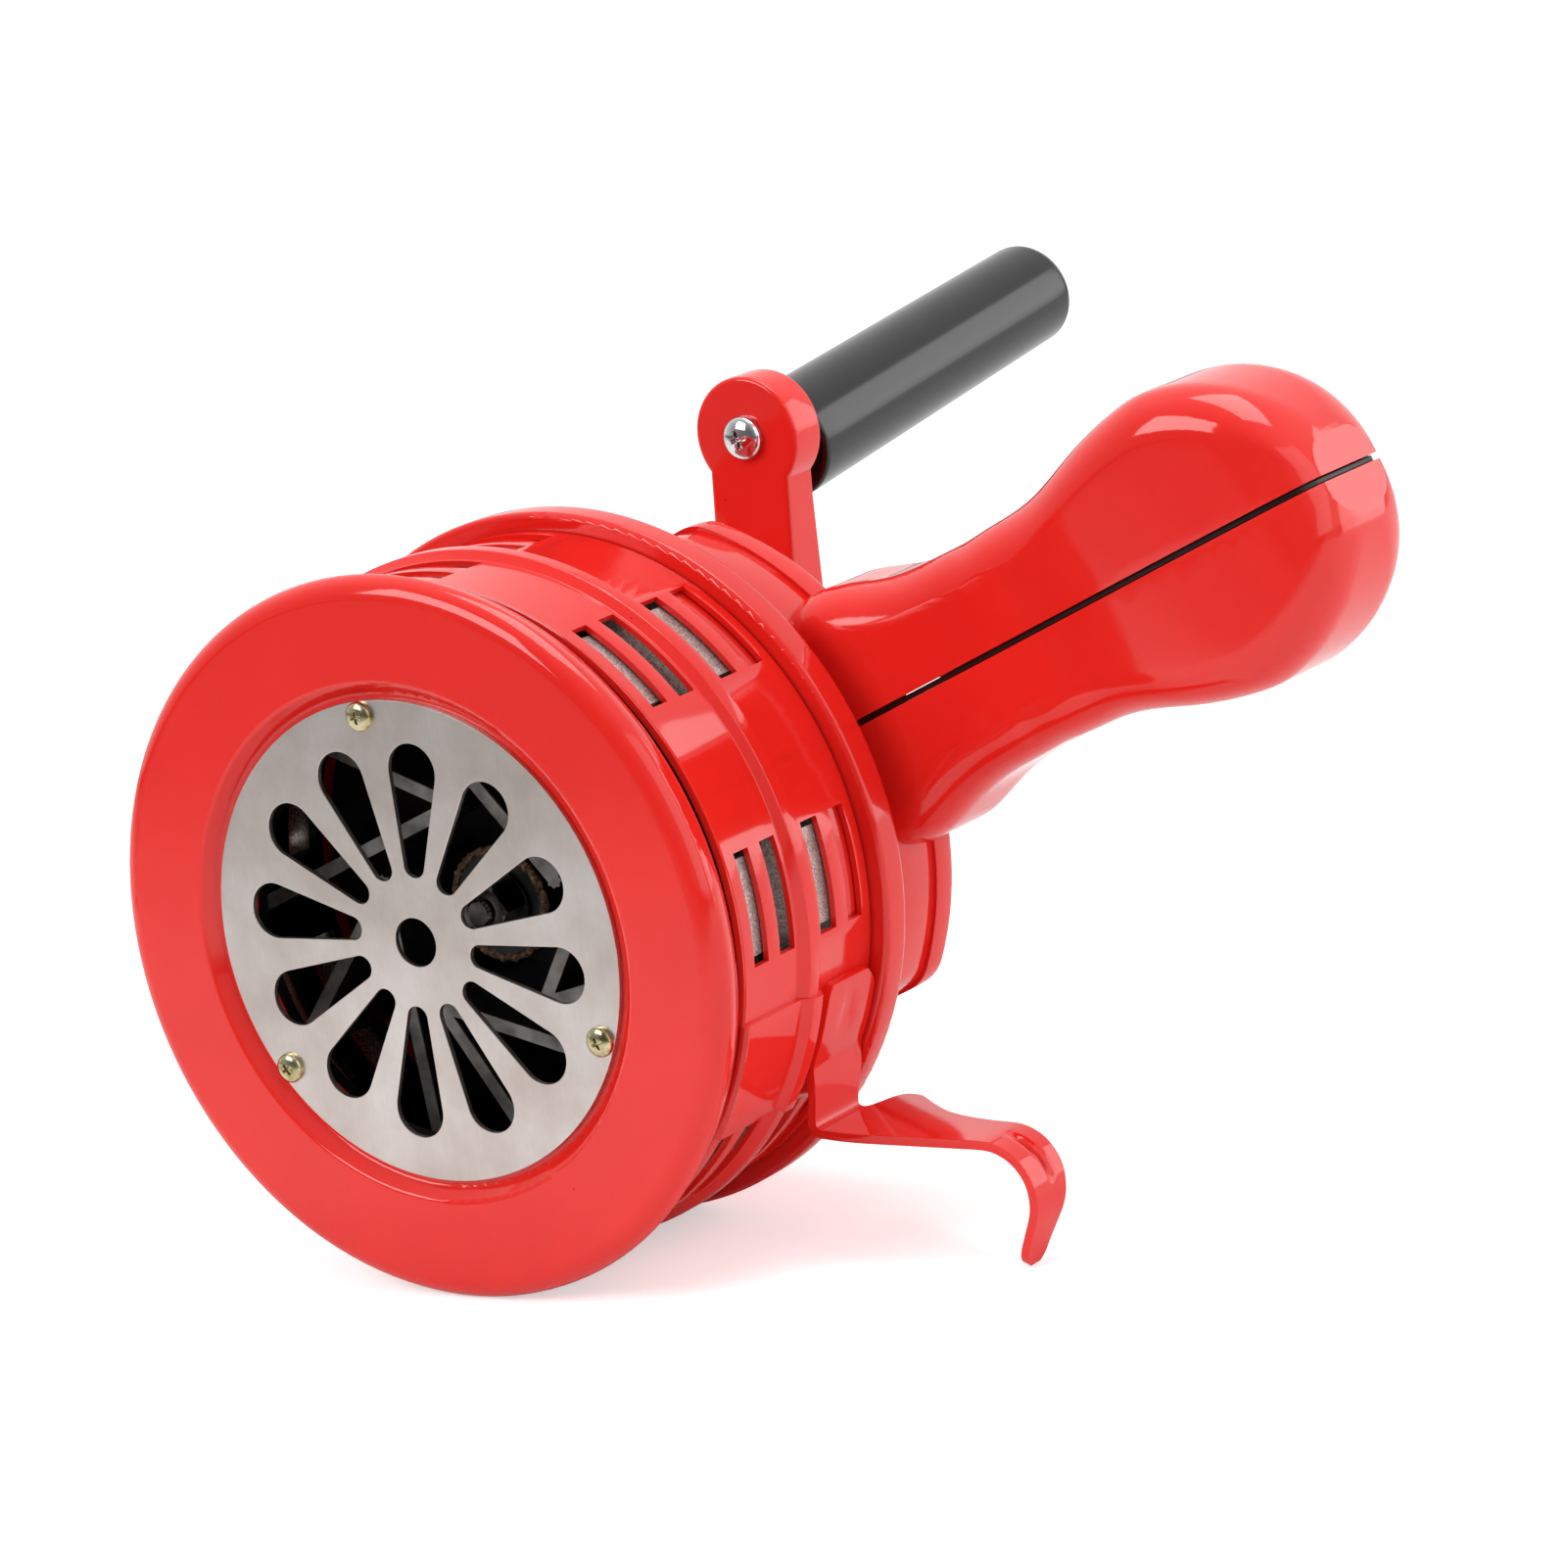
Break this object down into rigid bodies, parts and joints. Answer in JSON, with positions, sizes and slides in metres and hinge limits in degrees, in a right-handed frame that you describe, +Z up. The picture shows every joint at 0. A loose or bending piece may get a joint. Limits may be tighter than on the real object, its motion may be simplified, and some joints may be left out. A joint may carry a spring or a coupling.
{
  "type": "hand crank siren",
  "caption": "Hand-cranked siren: round red drum with a petal grille in front, slotted shutter ring with a finger lever, geared crank and knob behind, waisted side handle.",
  "frame": {"origin": "centre of the flat front ring, on the drum axis", "axes": "+Y rearward along the drum axis, from the grille to the crank; +Z up as the siren stands on its drum rims and lever tip; +X to the side of the handle"},
  "size_m": [0.2026, 0.1976, 0.1371],
  "materials": {
    "red_enamel": "gloss",
    "red_cast": "gloss enamel over a casting",
    "stainless": "brushed",
    "yellow_zinc": "yellow zinc plate",
    "cast_aluminium": "cast, speckled",
    "black_cast": "black paint",
    "bright_steel": "turned",
    "gear_steel": "oiled",
    "bush_brass": "turned",
    "chrome_screw": "polished",
    "black_knob": "gloss"
  },
  "bodies": {
    "housing": {"front_cover": "red_enamel", "grille_plate": "stainless", "grille_screws": "yellow_zinc", "stator_ring": "cast_aluminium", "rear_housing": "red_cast", "housing_screws": "yellow_zinc", "rotor_bearing_front": "bright_steel", "rotor_bearing_rear": "bright_steel", "layshaft": "bright_steel", "gearbox_case": "red_cast", "gearbox_case_screws": "yellow_zinc", "gearbox_cover": "red_cast", "gearbox_cover_screws": "yellow_zinc", "crank_bush": "bush_brass", "handle_upper": "red_enamel", "handle_lower": "red_enamel"},
    "shutter": {"shutter_sleeve": "red_enamel", "shutter_lever": "red_enamel"},
    "rotor": {"rotor_wheel": "black_cast", "rotor_shaft": "bright_steel", "rotor_washer": "bright_steel", "rotor_nut": "bright_steel", "rotor_pinion": "gear_steel"},
    "lay_cluster": {"lay_gear": "gear_steel", "lay_pinion": "gear_steel"},
    "crank": {"crank_gear": "gear_steel", "crank_shaft": "bright_steel", "crank_arm": "red_enamel", "crank_arm_nut": "bright_steel", "knob_spindle": "bright_steel", "knob_screw": "chrome_screw"},
    "grip_knob": {"knob": "black_knob"}
  },
  "joints": [
    {"name": "shutter_turn", "type": "hinge", "parent": "housing", "child": "shutter", "pos_m": [0, 0.029, 0], "axis": [0, -1, 0], "range_deg": [0, 22.5]},
    {"name": "crank_turn", "type": "hinge", "parent": "housing", "child": "crank", "pos_m": [0, 0.087, 0], "axis": [0, 1, 0], "continuous": true},
    {"name": "lay_turn", "type": "hinge", "parent": "housing", "child": "lay_cluster", "pos_m": [-0.02579, 0.065, -0.0109], "axis": [0, 1, 0], "continuous": true},
    {"name": "rotor_turn", "type": "hinge", "parent": "housing", "child": "rotor", "pos_m": [0, 0.03, 0], "axis": [0, 1, 0], "continuous": true},
    {"name": "knob_turn", "type": "hinge", "parent": "crank", "child": "grip_knob", "pos_m": [0.005, 0.1125, 0.05718], "axis": [0.0114, 0.9914, 0.13], "continuous": true}
  ],
  "couplings": [
    {"joint": "lay_turn", "follows": "crank_turn", "ratio": -4.8333},
    {"joint": "rotor_turn", "follows": "crank_turn", "ratio": 23.361}
  ]
}
